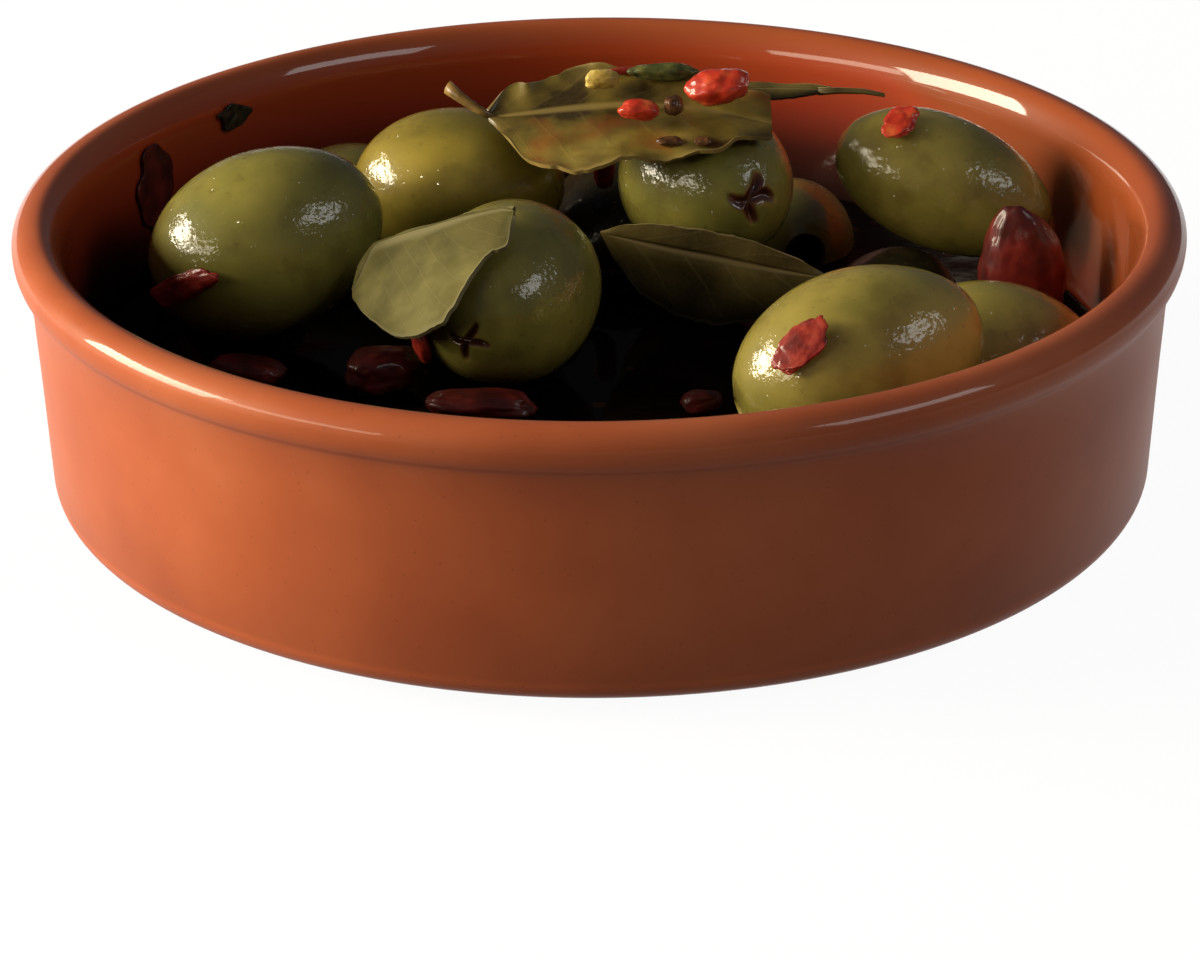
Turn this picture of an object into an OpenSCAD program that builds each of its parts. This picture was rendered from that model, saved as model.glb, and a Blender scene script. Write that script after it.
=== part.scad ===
// Olive dish: a glazed terracotta dish served with pitted olives, bay leaves and
// pieces of pickled pepper in a dark marinade. Every piece is its own solid.
// Millimetres, +Z up, origin at the centre of the foot on the table.

/* [Dish] */
// Diameter over the rim
dish_d = 134.4; // [128:0.2:180]
// Height from the table to the top of the rim
dish_h = 34.3; // [31:0.1:50]
// Width of the rolled rim
rim_w = 5.8; // [4.6:0.1:8]
// Height of the rolled rim
rim_h = 4.9; // [3:0.1:7]
// How far the rim stands out past the wall
rim_out = 2.1; // [0.5:0.1:4]
// Height of the sweep from the wall out to the rim
cove_h = 8.3; // [4:0.1:12]
// Thickness of the wall
wall_t = 4.4; // [3:0.1:5.5]
// How much narrower the wall is at its foot than at its top, in radius
draft = 1; // [0:0.1:3]
// Thickness of the floor
floor_t = 5; // [3.5:0.1:9]
// Radius between the wall and the floor, inside
floor_round = 8; // [4:0.5:10]
// How far the foot ring stands in from the wall
foot_in = 7.6; // [6:0.1:20]
// Width of the foot ring
foot_w = 7; // [3:0.5:14]
// Depth of the recess inside the foot ring
foot_h = 1.2; // [0.5:0.1:2]
// Height of the heel, where the wall turns in to the foot
heel_h = 4.2; // [3:0.1:8]

/* [Olives] */
// Length of a middling olive
olive_l = 26; // [21:0.25:26.5]
// Diameter of a middling olive
olive_d = 20; // [16:0.25:20.5]
// Egg shape: how much fatter the pitted end is than the cut end
olive_egg = 0.04; // [0:0.01:0.08]
// Diameter of the hole that the stone was pushed out of
pit_d = 5.6; // [3:0.1:8]
// Depth of that hole
pit_depth = 14; // [6:0.5:16]
// Length of each of the two crossed cuts
slit_l = 9; // [5:0.5:11]
// Width of the crossed cuts
slit_w = 0.7; // [0.4:0.1:1.2]
// Depth of the crossed cuts
slit_depth = 2.6; // [1:0.1:5]

/* [Marinade] */
// Depth of the marinade over the floor
fill_h = 8.7; // [5:0.1:9]

/* [Leaves] */
// Thickness of a bay leaf
leaf_t = 0.6; // [0.4:0.1:0.8]
// Diameter of the leaf stalk
stalk_d = 1.4; // [0.8:0.1:2]
// Length of the top leaf from its stalk to its missing tip
top_leaf_l = 37; // [34:0.5:39]
// Width of the top leaf in front of its midrib
top_leaf_front = 11; // [8:0.5:13]
// Width of the top leaf behind its midrib
top_leaf_back = 7.5; // [5:0.5:9]
// Slope of the top leaf down to the front
top_leaf_slope = 17; // [10:1:20]
// Length of the middle leaf
mid_leaf_l = 29; // [24:0.5:30]
// Width of the middle leaf in front of its midrib
mid_leaf_front = 8.5; // [7:0.5:10]
// Width of the middle leaf behind its midrib
mid_leaf_back = 3.5; // [2:0.5:4]
// Length of the sliver of leaf on the back olive
sliver_l = 14; // [8:0.5:15]

/* [Peppers] */
// Height of the red lobe at the right
lobe_h = 15.5; // [11:0.5:18]
// Width of the red lobe at the right
lobe_w = 11; // [8:0.5:12]
// Thickness of a strip or flake of pepper skin
skin_t = 1.2; // [0.8:0.1:1.6]
// Height of the diced pepper in the marinade
dice_h = 4; // [2:0.5:4.5]

/* [Fit] */
// Clearance where one piece lies on another
gap = 0.3; // [0.2:0.05:0.4]
// Clearance between the marinade and the glaze
film = 0.05; // [0.02:0.01:0.1]

/* [Hidden] */
$fn = 72;

// Dish outline
rim_c = [dish_d / 2 - rim_w / 2, dish_h - rim_h / 2];
body_r = dish_d / 2 - rim_out;
foot_r = body_r - foot_in;
bowl_r = body_r - draft / 2 - wall_t;
cove_z = rim_c[1] - cove_h;
heel_round = 2.4;
foot_edge = 0.6;
level = floor_t + fill_h;

// The load was laid in a bowl of 60.2 mm inside radius, and keeps its share of the bowl
load = bowl_r / 60.2;

// The pile was laid with olives of this length and diameter, and spreads with them
laid_l = 26;
laid_d = 20;
pile = max(olive_l / laid_l, olive_d / laid_d);

// Each olive: name, place on the floor, lift off the floor, heading and rise of its
// cut end, and how much longer and fatter it is than a middling one
OLIVES = [
    ["olive_left", [-39, 6.5], 10.5, 15, 20, 2.5, 1.5],
    ["olive_back_left", [-17, 26.5], 11, -8, 4, 0, -1],
    ["olive_far_left", [-31.5, 39], 5, 60, 0, -5, -4],
    ["olive_front", [-10.5, -4], 8.5, -110, -5, -0.5, 0.5],
    ["olive_back", [13, 22], 12.5, -65, 9, -1, 0],
    ["olive_right_back", [41.5, 21.5], 14.2, -12, -20, 1.5, -4],
    ["olive_right_front", [28.5, -26], 9, 15, 16, 3, 0.5],
    ["olive_right_low", [45, -11.5], 3.5, -10, -4, -1, -1.5],
    ["olive_middle_low", [24, 39], 0.5, 98, -11, -5, -4.5],
    ["olive_under_left", [-43.5, 23.5], 2.5, 105, 0, -6, -4],
    ["olive_under_back", [3, 38.5], 0, 80, 0, -3, -0.5],
    ["olive_under_right", [35, 14], 0.7, 60, 0, -4.5, -4.5],
    ["olive_under_front", [-10.5, 13.5], 0, 150, 0, -6, -4.5],
    ["olive_under_middle", [25, -4], 0, 10, 0, -6, -4.5],
];
LEFT = 0;
FRONT = 3;
BACK = 4;
RIGHT_BACK = 5;
RIGHT_FRONT = 6;
UNDER_BACK = 10;

OTHERS = [
    "dish", "marinade",
    "leaf_top", "leaf_torn", "leaf_middle", "leaf_sliver",
    "pepper_lobe", "pepper_upright", "pepper_strip_left", "pepper_flake_right",
    "pepper_bit_right", "pepper_bit_front", "pepper_wall_skin", "herb_wall_fleck",
    "pepper_dice_front_left", "pepper_dice_front", "pepper_dice_left", "pepper_dice_right",
    "topping_red", "topping_small_red", "topping_caper", "topping_garlic", "topping_green",
];

// Sizes and place of one olive
function half_l(k) = (olive_l + OLIVES[k][5]) / 2;
function half_d(k) = (olive_d + OLIVES[k][6]) / 2;
function spot(k) = [
    OLIVES[k][1][0] * pile,
    OLIVES[k][1][1] * pile,
    floor_t + gap + half_d(k) + OLIVES[k][2] * olive_d / laid_d
];
function heading(k) = let (a = OLIVES[k][3], p = OLIVES[k][4])
    [cos(p) * cos(a), cos(p) * sin(a), sin(p)];

// Height of the underside of one olive
function lowest(k) = let (p = OLIVES[k][4])
    spot(k)[2] - norm([half_d(k) * cos(p), half_l(k) * sin(p)]);

// Point where a sheet that faces along n first meets olive k
function touch(k, n) =
    let (a = heading(k), u = n / norm(n), c = a * u)
    let (b2 = pow(half_d(k) * (1 + olive_egg / 2), 2), e2 = pow(half_l(k), 2) - b2)
    spot(k) + (b2 * u + e2 * c * a) / sqrt(b2 + e2 * c * c);

// How far the hollow in the marinade stands off olive k, with that many bands
function hollow(k, bands) = gap + half_d(k) * (1 / cos(90 / bands) - 1);

// Points on part of an ellipse
function arc(c, rx, ry, from, to, steps) =
    [for (i = [0:steps]) let (t = from + (to - from) * i / steps) c + [rx * cos(t), ry * sin(t)]];

// Smooth step from point a to point b that leaves both upright
function sweep(a, b, steps) =
    [for (i = [1:steps - 1]) let (t = i / steps)
        [a[0] + (b[0] - a[0]) * (1 - cos(180 * t)) / 2, a[1] + (b[1] - a[1]) * t]];

// One edge of a pointed leaf, from its stalk to the share of its length that is left,
// widest half way along, or nearer its stalk where skew is below one
function leaf_edge(len, w, upto, skew) =
    [for (i = [1:14]) let (s = upto * i / 14) [len * s, w * pow(sin(180 * pow(s, skew)), 0.75)]];

function backward(list) = [for (i = [len(list) - 1:-1:0]) list[i]];

// Turns local +Z the shortest way to face along n
module facing(n) {
    tilt = acos(n[2] / norm(n));
    turn = atan2(n[1], n[0]);
    rotate([0, 0, turn])
        rotate([0, tilt, 0])
            rotate([0, 0, -turn])
                children();
}

// Draws the load at its share of the bowl, measured from the middle of the floor
module laid() {
    translate([0, 0, floor_t])
        scale(load)
            translate([0, 0, -floor_t])
                children();
}

// Inside of the bowl up to height top, shrunk by inset
module bowl_inside(top, inset) {
    r = bowl_r - inset;
    z = floor_t + inset;
    rotate_extrude()
        polygon(concat(
            [[0, z]],
            arc([r - floor_round, z + floor_round], floor_round, floor_round, -90,
                -asin(max(0, (floor_t + floor_round - top) / floor_round)), 10),
            [[bowl_r - inset, top]],
            [[0, top]]));
}

module dish() {
    heel_c = [body_r - draft - heel_round, heel_h];
    outside = concat(
        [[foot_r, 0], [foot_r + foot_edge, foot_edge / 2]],
        arc(heel_c, heel_round, heel_round, -58, 0, 6),
        [[body_r, cove_z]],
        sweep([body_r, cove_z], [dish_d / 2, rim_c[1]], 8));
    inside = concat(
        [[bowl_r, floor_t + floor_round]],
        arc([bowl_r - floor_round, floor_t + floor_round], floor_round, floor_round, -9, -90, 9),
        [[0, floor_t]]);
    color("#a5552b")
        rotate_extrude()
            polygon(concat(
                [[0, foot_h], [foot_r - foot_w - foot_h, foot_h], [foot_r - foot_w, 0]],
                outside,
                arc(rim_c, rim_w / 2, rim_h / 2, 0, 180, 18),
                inside));
}

// Outside of an olive, in its own frame with the cut end up
module olive_skin(k, grow, bands) {
    a = half_l(k) + grow;
    b = half_d(k) + grow;
    rotate_extrude()
        polygon([for (i = [0:bands]) let (t = 180 * i / bands)
            [max(0, b * sin(t) * (1 + olive_egg * cos(t))), -a * cos(t)]]);
}

module at_spot(k) {
    translate(spot(k))
        rotate([0, 90 - OLIVES[k][4], OLIVES[k][3]])
            children();
}

module olive(k) {
    color("#6f6a2a")
        at_spot(k)
            difference() {
                olive_skin(k, 0, 20);
                translate([0, 0, -half_l(k) - 1])
                    cylinder(d = pit_d, h = min(pit_depth, 1.5 * half_l(k)) + 1);
                for (turn = [0, 90])
                    rotate([0, 0, turn + 45])
                        translate([-slit_l / 2, -slit_w / 2, half_l(k) - slit_depth])
                            cube([slit_l, slit_w, slit_depth + 1]);
            }
}

// Marinade up to its level, with a hollow round each olive that dips into it
module marinade() {
    hollow_bands = 9;
    color("#2a100c")
        difference() {
            bowl_inside(floor_t + fill_h * load, film);
            for (k = [0:len(OLIVES) - 1])
                if (lowest(k) < level + gap)
                    laid()
                        at_spot(k)
                            olive_skin(k, hollow(k, hollow_bands), hollow_bands);
        }
}

// Sheet of thickness t under a drawn outline, bowed about local Y with its crest at the
// origin, or its trough there where hollow is true
module bowed_sheet(bow_r, t, hollow = false) {
    side = hollow ? 1 : -1;
    intersection() {
        linear_extrude(height = bow_r, center = true)
            children();
        translate([0, 0, side * bow_r])
            rotate([90, 0, 0])
                difference() {
                    cylinder(r = bow_r, h = 4 * top_leaf_l, center = true);
                    cylinder(r = bow_r - t, h = 5 * top_leaf_l, center = true);
                }
    }
}

// Pointed leaf from its stalk at the origin along +X, with its end torn off
module leaf_outline(len, front, back, upto, front_skew = 1, back_skew = 1) {
    polygon(concat(
        [[0, 0]],
        leaf_edge(len, -front, upto, front_skew),
        backward(leaf_edge(len, back, upto, back_skew))));
}

top_leaf_n = [0, -sin(top_leaf_slope), cos(top_leaf_slope)];
top_leaf_place = touch(BACK, top_leaf_n) + (leaf_t + gap) * top_leaf_n;
top_leaf_bow = 110;
top_leaf_torn = 0.89;
top_leaf_back_share = 27 / 37;

// Frame of the top leaf: origin where it rests, X along its midrib
module on_top_leaf(lift = 0) {
    translate(top_leaf_place)
        rotate([top_leaf_slope, 0, 0])
            translate([0, 0, lift])
                children();
}

module leaf_top() {
    stalk_x = -top_leaf_back_share * top_leaf_l;
    midrib_y = 3;
    midrib_turn = -4;
    stalk_l = 7;
    color("#5f5a2c")
        on_top_leaf() {
            bowed_sheet(top_leaf_bow, leaf_t)
                translate([stalk_x, midrib_y])
                    rotate([0, 0, midrib_turn])
                        leaf_outline(top_leaf_l, top_leaf_front, top_leaf_back, top_leaf_torn, 0.72, 0.58);
            translate([stalk_x + 1.5, midrib_y, -stalk_x * stalk_x / 2 / top_leaf_bow - leaf_t / 2])
                rotate([0, -80, -38])
                    cylinder(d = stalk_d, h = stalk_l);
        }
}

torn_leaf_n = [-0.5, -0.4, 0.77];
torn_leaf_bow = 50;

module leaf_torn() {
    n = torn_leaf_n / norm(torn_leaf_n);
    color("#8f9173")
        translate(touch(FRONT, n) + (leaf_t + gap) * n)
            facing(n)
                bowed_sheet(torn_leaf_bow, leaf_t)
                    polygon([
                        [-10.5, 9], [-6.5, 7.5], [-2.5, 6], [2.5, 4.5], [7, 3.5], [8, 2],
                        [7, -3], [4, -3], [1.5, -5.5], [0, -8], [-2, -10], [-6, -9.5],
                        [-9, -7.5], [-11, -4.5], [-14, 1], [-14.5, 4], [-13.5, 7]
                    ]);
}

// The middle leaf stands in the marinade and leans on the front of the back olive
mid_leaf_bow = 60;
mid_leaf_dip = 12.5;
mid_leaf_stalk = -14;
mid_leaf_place = [
    touch(BACK, [0, 0, 1])[0],
    touch(BACK, [0, -1, 0])[1] - gap - leaf_t,
    level + gap + mid_leaf_front
];

module leaf_middle() {
    color("#2f2f1c")
        translate(mid_leaf_place)
            rotate([90, 0, 0])
                bowed_sheet(mid_leaf_bow, leaf_t)
                    rotate([0, 0, -mid_leaf_dip])
                        translate([mid_leaf_stalk, 0])
                            leaf_outline(mid_leaf_l, mid_leaf_front, mid_leaf_back, 0.97);
}

// The sliver lies level on the crown of the back olive, under the edge of the top leaf
module leaf_sliver() {
    half_w = 1.7;
    color("#3a3a20")
        translate(touch(BACK, [0, 0, 1]) + [0.5, half_w + 0.8, gap])
            linear_extrude(height = leaf_t)
                leaf_outline(sliver_l, half_w, half_w, 0.97);
}

// Rounded lump between two balls
module lump(a, ra, b, rb) {
    hull() {
        translate(a) sphere(r = ra, $fn = 24);
        translate(b) sphere(r = rb, $fn = 24);
    }
}

// Red lobe cut flat where it stands on the marinade
module pepper_lobe() {
    r = lobe_w / 2;
    thick = 3.4;
    lean = 1.2;
    color("#7e1a12")
        translate([50 * pile, 7 * pile, level + gap])
            hull() {
                for (side = [-1, 1])
                    translate([side * (r - thick), 0, 0])
                        cylinder(r = thick, h = 1, $fn = 28);
                translate([r - thick, 0, lobe_h - thick - 2 * lean])
                    sphere(r = thick, $fn = 28);
                translate([thick - r + lean, lean, lobe_h - thick])
                    sphere(r = thick, $fn = 28);
            }
}

// Flat strip with round ends, lying on local Z = 0
module strip(len, w, t) {
    linear_extrude(height = t) {
        square([len - w, w], center = true);
        for (side = [-1, 1])
            translate([side * (len - w) / 2, 0])
                circle(d = w);
    }
}

// Strip of pepper skin that lies on olive k and faces along n
module strip_on(k, n, turn, len, w) {
    u = n / norm(n);
    color("#b23a1c")
        translate(touch(k, u) + gap * u)
            facing(u)
                rotate([0, 0, turn])
                    strip(len, w, skin_t);
}

module pepper_strip_left() { strip_on(LEFT, [-0.46, -0.89, 0], 0, 8.5, 2.6); }
module pepper_flake_right() { strip_on(RIGHT_FRONT, [-0.36, -0.72, 0.59], 30, 6.4, 3.6); }
module pepper_bit_right() { strip_on(RIGHT_BACK, [-0.16, -0.45, 0.88], 80, 4.6, 3); }
module pepper_bit_front() { strip_on(FRONT, [-0.85, -0.42, -0.3], 10, 4.4, 2.4); }

module pepper_upright() {
    n = [0, -0.62, 0.78];
    strip_h = 6.5;
    color("#6d2015")
        translate(touch(UNDER_BACK, n) + [-2, 0, 3 * gap])
            rotate([0, 90, 90])
                translate([-strip_h / 2, 0, 0])
                    strip(strip_h, 2.6, skin_t);
}

// Piece of the ring between the wall and a thickness inside it
module on_wall(from, to, angle, wide, t) {
    slope = (dish_d / 2 - rim_w - bowl_r) / (rim_c[1] - floor_t - floor_round);
    function wall_at(z) = bowl_r + slope * (z - floor_t - floor_round) - gap;
    rotate([0, 0, angle - wide / 2])
        rotate_extrude(angle = wide)
            polygon([[wall_at(from) - t, from], [wall_at(from), from],
                [wall_at(to), to], [wall_at(to) - t, to]]);
}

module pepper_wall_skin() {
    color("#6a1c12")
        on_wall(dish_h - 13, dish_h - 4.5, 152, 5, skin_t);
}

module herb_wall_fleck() {
    color("#3b3d1d")
        on_wall(dish_h - 6, dish_h - 3, 138, 4.5, skin_t / 2);
}

// Diced pepper standing in the marinade, cut flat below
module dice(place, len, wide, turn, h) {
    r = wide / 2;
    color("#6b1d13")
        translate([place[0] * pile, place[1] * pile, level + gap])
            rotate([0, 0, turn])
                hull()
                    for (side = [-1, 1]) {
                        translate([side * (len / 2 - r), 0, 0])
                            cylinder(r = r, h = h / 3, $fn = 28);
                        translate([side * (len / 2 - r), 0, h - r / 2])
                            cylinder(r = r * 0.55, h = r / 2, $fn = 28);
                    }
}

module pepper_dice_front_left() { dice([-25, -8.5], 9, 6, 25, dice_h + 1); }
module pepper_dice_front() { dice([-13.5, -16.5], 12.5, 5, -4, dice_h - 1); }
module pepper_dice_left() { dice([-41, -6], 9, 4.5, -18, dice_h - 1); }
module pepper_dice_right() { dice([11.5, -15.5], 4.6, 3, 10, dice_h - 1.5); }

// Where a topping at x along the top leaf lies on its bowed face
function leaf_dip(x) = -x * x / 2 / top_leaf_bow + gap;

module topping_red() {
    color("#c2381d")
        on_top_leaf()
            translate([0.4, 0.8, leaf_dip(0) + 2])
                lump([-1.8, 0, 0], 2, [1.6, 0.6, 0.8], 2.2);
}

module topping_small_red() {
    color("#b5261a")
        on_top_leaf()
            translate([-9, -1.5, leaf_dip(6.4) + 1.3])
                lump([-1.4, 0, 0], 1.2, [1.3, 0.2, 0], 1.3);
}

module topping_caper() {
    color("#7d4a28")
        on_top_leaf()
            translate([-4.9, -0.4, leaf_dip(3.7) + 1.15])
                sphere(d = 2.3, $fn = 32);
}

module topping_garlic() {
    color("#c8a24a")
        on_top_leaf()
            translate([-13.4, 5.2, leaf_dip(11) + 1.2])
                lump([-0.9, 0, 0], 1.1, [1, 0.2, 0], 1.2);
}

module topping_green() {
    color("#6b6b34")
        on_top_leaf()
            translate([-5.6, 6.4, leaf_dip(2) + 1])
                lump([-3.6, 0, 0], 1, [2.6, 0, 0], 1);
}

dish();
marinade();
laid() leaf_top();
laid() leaf_torn();
laid() leaf_middle();
laid() leaf_sliver();
laid() pepper_lobe();
laid() pepper_upright();
laid() pepper_strip_left();
laid() pepper_flake_right();
laid() pepper_bit_right();
laid() pepper_bit_front();
pepper_wall_skin();
herb_wall_fleck();
laid() pepper_dice_front_left();
laid() pepper_dice_front();
laid() pepper_dice_left();
laid() pepper_dice_right();
laid() topping_red();
laid() topping_small_red();
laid() topping_caper();
laid() topping_garlic();
laid() topping_green();
for (k = [0:len(OLIVES) - 1])
    laid() olive(k);
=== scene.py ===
# %% [markdown]
# # Olive dish
#
# A round glazed terracotta dish, served with pitted olives, bay leaves and bits of pickled
# pepper in a dark marinade. The frame gives every piece its place, so this lesson is about
# how each piece looks: smooth glaze, wet olive skin, veined leaves, a black pool.

# %% Load the frame
import math

import bpy
import numpy as np
from mathutils import Matrix, Vector, noise


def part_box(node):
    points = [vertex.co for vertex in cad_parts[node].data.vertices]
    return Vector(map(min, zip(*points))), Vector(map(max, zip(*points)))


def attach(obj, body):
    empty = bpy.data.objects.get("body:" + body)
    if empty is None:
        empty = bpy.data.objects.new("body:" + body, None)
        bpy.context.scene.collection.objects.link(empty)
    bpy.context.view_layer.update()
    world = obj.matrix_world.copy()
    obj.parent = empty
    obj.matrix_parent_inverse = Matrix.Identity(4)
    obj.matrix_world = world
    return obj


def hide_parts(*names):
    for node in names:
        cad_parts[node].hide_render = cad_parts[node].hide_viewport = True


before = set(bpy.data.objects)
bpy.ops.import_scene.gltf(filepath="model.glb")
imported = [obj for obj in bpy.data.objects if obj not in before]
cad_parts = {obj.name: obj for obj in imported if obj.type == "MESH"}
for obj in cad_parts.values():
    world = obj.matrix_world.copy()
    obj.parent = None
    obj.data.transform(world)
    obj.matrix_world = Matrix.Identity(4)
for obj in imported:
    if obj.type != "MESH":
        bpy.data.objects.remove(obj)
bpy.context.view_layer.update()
MM = 0.001

# %% [markdown]
# ## A few small tools
#
# An operator acts on everything that is selected, so `take` leaves one object selected.
# `reshape` sends all the points of a piece through one sum at once, which is how a soft
# shape is sculpted in code. `hand_over` gives a piece its finish and the body it moves with,
# and shades it smooth, or smooth only up to a crease where the piece has thin edges.

# %% Tools for every piece
CREASE = math.radians(40)


def take(piece):
    bpy.ops.object.select_all(action="DESELECT")
    piece.select_set(True)
    bpy.context.view_layer.objects.active = piece
    return piece


def points_of(piece):
    flat = np.empty(len(piece.data.vertices) * 3)
    piece.data.vertices.foreach_get("co", flat)
    return flat.reshape(-1, 3)


def reshape(piece, move):
    piece.data.vertices.foreach_set("co", np.asarray(move(points_of(piece)), float).ravel())
    piece.data.update()
    return piece


def hand_over(piece, name, body, slot, finish, *nodes, creased=False):
    piece.name = name
    piece.data.name = name
    piece.data.materials.clear()
    piece.data.materials.append(finish)
    take(piece)
    bpy.ops.object.shade_smooth()
    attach(piece, body)
    if nodes:
        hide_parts(*nodes)
    if creased:
        bpy.ops.object.shade_smooth_by_angle(angle=CREASE)
    print(name, "on", body, "faces:", len(piece.data.polygons))
    return piece


bpy.ops.object.select_all(action="DESELECT")
print("pieces selected before modelling:", len(bpy.context.selected_objects))

# %% [markdown]
# ## Finishes
#
# Paint chips are read in sRGB, and shaders work in linear light, so one function turns a hex
# colour into linear. One more adds a shader node with its settings and links. The size of
# each pattern is worked out from millimetres: a texture's scale is one over its size in metres.

# %% Colour and node tools
def chip(code):
    parts = [int(code[i:i + 2], 16) / 255 for i in (1, 3, 5)]
    return (*[p / 12.92 if p <= 0.04045 else ((p + 0.055) / 1.055) ** 2.4 for p in parts], 1)


def per_mm(size):
    return 1 / (size * MM)


def feed(tree, node, inputs):
    for key, value in inputs.items():
        if isinstance(value, bpy.types.NodeSocket):
            tree.links.new(value, node.inputs[key])
        else:
            node.inputs[key].default_value = value


def put(tree, kind, inputs=None, stops=None, **settings):
    made = tree.nodes.new(kind)
    for name, value in settings.items():
        setattr(made, name, value)
    feed(tree, made, inputs or {})
    if stops:
        ramp = made.color_ramp.elements
        while len(ramp) < len(stops):
            ramp.new(0.5)
        for element, (place, colour) in zip(ramp, stops):
            element.position = place
            element.color = colour
    return made


def new_finish(name):
    finish = bpy.data.materials.new(name)
    finish.use_nodes = True
    tree = finish.node_tree
    tree.nodes.clear()
    shader = put(tree, "ShaderNodeBsdfPrincipled")
    put(tree, "ShaderNodeOutputMaterial", {"Surface": shader.outputs["BSDF"]})
    print("finish:", name)
    return finish, tree, shader


print("middle grey in linear light:", round(chip("#808080")[0], 3))

# %% [markdown]
# ### Glazed terracotta
#
# Red clay under a clear glaze. The glaze is a thin smooth coat, so the clay below keeps its
# own soft colour and the coat alone makes the sharp reflections. First comes the clay: it is
# a little uneven, with fine iron specks. The foot ring is wiped clean before firing, so its
# paler clay lies bare.

# %% Terracotta: the clay
SPECK, NO_SPECK = (0.45, 0.45, 0.45, 1), (1, 1, 1, 1)
WIPED_TO, GLAZED_FROM = 0.7 * MM, 1.3 * MM
terracotta, tree, shader = new_finish("glazed_terracotta")
where = put(tree, "ShaderNodeTexCoord").outputs["Object"]
axes = put(tree, "ShaderNodeSeparateXYZ", {"Vector": where})
height = axes.outputs["Z"]
cloudy = put(tree, "ShaderNodeTexNoise", {"Vector": where, "Scale": per_mm(26), "Detail": 4})
clay = put(tree, "ShaderNodeValToRGB", {"Fac": cloudy.outputs["Fac"]},
           [(0.34, chip("#a4502c")), (0.52, chip("#b25a33")), (0.7, chip("#bc653d"))])
specks = put(tree, "ShaderNodeTexVoronoi", {"Vector": where, "Scale": per_mm(1.6)})
speck = put(tree, "ShaderNodeValToRGB", {"Fac": specks.outputs["Distance"]},
            [(0.05, SPECK), (0.13, NO_SPECK)])
spotted = put(tree, "ShaderNodeMix", {"Factor": 0.35, "A": clay.outputs["Color"],
              "B": speck.outputs["Color"]}, data_type="RGBA", blend_type="MULTIPLY")
bare = put(tree, "ShaderNodeMapRange", {"Value": height, "From Min": GLAZED_FROM, "From Max": WIPED_TO})
skin = put(tree, "ShaderNodeMix", {"Factor": bare.outputs["Result"],
           "A": spotted.outputs["Result"], "B": chip("#b87348")}, data_type="RGBA")

# %% [markdown]
# The glaze was poured, so it is thick on the rim and inside, and thin and satin on the outer
# wall. Two masks find the outer wall: far enough from the axis, and below the top of the rim.

# %% Terracotta: where the glaze lies
OUTER_R, BELOW_RIM = (62.5, 63.5), (33.6, 32)
THICK, THIN = 1.0, 0.08
level = put(tree, "ShaderNodeVectorMath", {0: where, 1: (1, 1, 0)}, operation="MULTIPLY")
reach = put(tree, "ShaderNodeVectorMath", {0: level.outputs[0]}, operation="LENGTH").outputs["Value"]
outer = put(tree, "ShaderNodeMapRange", {"Value": reach, "From Min": OUTER_R[0] * MM,
            "From Max": OUTER_R[1] * MM})
below = put(tree, "ShaderNodeMapRange", {"Value": height, "From Min": BELOW_RIM[0] * MM,
            "From Max": BELOW_RIM[1] * MM})
satin = put(tree, "ShaderNodeMath", {0: outer.outputs[0], 1: below.outputs[0]}, operation="MULTIPLY")
coat = put(tree, "ShaderNodeMapRange", {"Value": satin.outputs[0], "To Min": THICK, "To Max": THIN})
glazed = put(tree, "ShaderNodeMapRange", {"Value": height, "From Min": WIPED_TO, "From Max": GLAZED_FROM})
glaze = put(tree, "ShaderNodeMath", {0: coat.outputs[0], 1: glazed.outputs[0]}, operation="MINIMUM")
print("coat on the rim and on the outer wall:", THICK, THIN)

# %% [markdown]
# Painted shade on the inside wall: nearly black at the pool, deep red above, clay colour higher up
# and darker again at the rim's inner edge, from a ramp over the height. As painted light where the key lamp
# reaches the right wall, a term that grows towards the right is added to the height before the ramp.

# %% Terracotta: painted shade inside
INNER_R, ABOVE_FLOOR = (64.6, 61.8), (4, 4.6)
STAIN_FROM, STAIN_TO = 13, 34
# painted light: the shade ramp is raised towards the right, where the key lamp lights the inside wall
TIPPED_X, TIPPED_BY = (36, 58), 13
inner = put(tree, "ShaderNodeMapRange", {"Value": reach, "From Min": INNER_R[0] * MM,
            "From Max": INNER_R[1] * MM})
above = put(tree, "ShaderNodeMapRange", {"Value": height, "From Min": ABOVE_FLOOR[0] * MM,
            "From Max": ABOVE_FLOOR[1] * MM})
inside = put(tree, "ShaderNodeMath", {0: inner.outputs[0], 1: above.outputs[0]}, operation="MULTIPLY")
tipped = put(tree, "ShaderNodeMapRange", {"Value": axes.outputs["X"], "From Min": TIPPED_X[0] * MM,
             "From Max": TIPPED_X[1] * MM, "To Max": TIPPED_BY * MM})
mark = put(tree, "ShaderNodeMath", {0: height, 1: tipped.outputs[0]}, operation="ADD")
wetted = put(tree, "ShaderNodeMapRange", {"Value": mark.outputs[0], "From Min": STAIN_FROM * MM,
             "From Max": STAIN_TO * MM})
# painted shade: nearly black at the pool, deep red up the wall, darker again at the rim's inner edge
soak = put(tree, "ShaderNodeValToRGB", {"Fac": wetted.outputs["Result"]},
           [(0.0, chip("#150503")), (0.32, chip("#42130a")), (0.6, chip("#872a10")),
            (0.86, chip("#a23c16")), (1.0, chip("#92441b"))])
stained = put(tree, "ShaderNodeMix", {"Factor": inside.outputs[0], "A": skin.outputs["Result"],
              "B": soak.outputs["Color"]}, data_type="RGBA")
print("stain from", STAIN_FROM, "to", STAIN_TO, "mm")

# %% [markdown]
# Last, the surface. The clay is matt and the coat is nearly a mirror, with a slow ripple left
# by the pouring: it gives the eye soft orange shading under crisp white streaks.

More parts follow.
